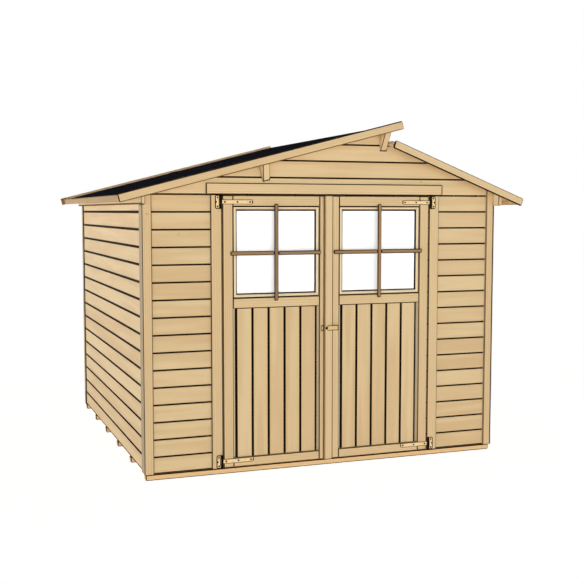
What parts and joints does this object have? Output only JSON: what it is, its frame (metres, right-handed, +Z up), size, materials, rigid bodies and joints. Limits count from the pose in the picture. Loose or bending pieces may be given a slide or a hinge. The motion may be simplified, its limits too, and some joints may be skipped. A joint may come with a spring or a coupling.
{
  "type": "garden shed",
  "caption": "Boarded timber garden shed with an offset gable roof, projecting purlins, felt covering and outward-opening glazed double doors.",
  "frame": {"origin": "on the ground under the middle of the roof's outline", "axes": "+Y from the door front to the back, +X to the right as seen from the front, +Z up"},
  "size_m": [2.8402, 2.69, 2.2879],
  "materials": {
    "spruce": "planed, untreated",
    "acrylic": "opal",
    "zinc_steel": "yellow passivated zinc",
    "felt": "mineral bitumen felt"
  },
  "bodies": {
    "shed": {"floor_joists": "spruce", "floor_deck": "spruce", "front_wall_left": "spruce", "front_wall_right": "spruce", "front_gable": "spruce", "back_wall": "spruce", "left_wall": "spruce", "right_wall": "spruce", "front_corner_posts": "spruce", "back_corner_posts": "spruce", "wall_studs": "spruce", "left_door_jamb": "spruce", "right_door_jamb": "spruce", "door_header": "spruce", "left_eave_purlin": "spruce", "left_mid_purlin": "spruce", "ridge_purlin": "spruce", "right_eave_purlin": "spruce", "left_roof_deck": "spruce", "right_roof_deck": "spruce", "left_eave_fascia": "spruce", "right_eave_fascia": "spruce", "front_left_barge_board": "spruce", "front_right_barge_board": "spruce", "back_left_barge_board": "spruce", "back_right_barge_board": "spruce", "left_roof_felt": "felt", "right_roof_felt": "felt", "hinge_plates": "zinc_steel"},
    "left_door": {"left_door_stiles": "spruce", "left_door_rails": "spruce", "left_door_panel": "spruce", "left_door_beads": "spruce", "left_door_glass": "acrylic", "left_door_straps": "zinc_steel", "latch_keeper": "zinc_steel"},
    "right_door": {"right_door_stiles": "spruce", "right_door_rails": "spruce", "right_door_panel": "spruce", "right_door_beads": "spruce", "right_door_glass": "acrylic", "right_door_straps": "zinc_steel", "cover_strip": "spruce", "latch_bar": "zinc_steel"}
  },
  "joints": [
    {"name": "left_door_hinge", "type": "hinge", "parent": "shed", "child": "left_door", "pos_m": [-0.75301, -1.263, 0.915], "axis": [0, 0, -1], "range_deg": [0, 160]},
    {"name": "right_door_hinge", "type": "hinge", "parent": "shed", "child": "right_door", "pos_m": [0.73199, -1.263, 0.915], "axis": [0, 0, 1], "range_deg": [0, 160]}
  ]
}
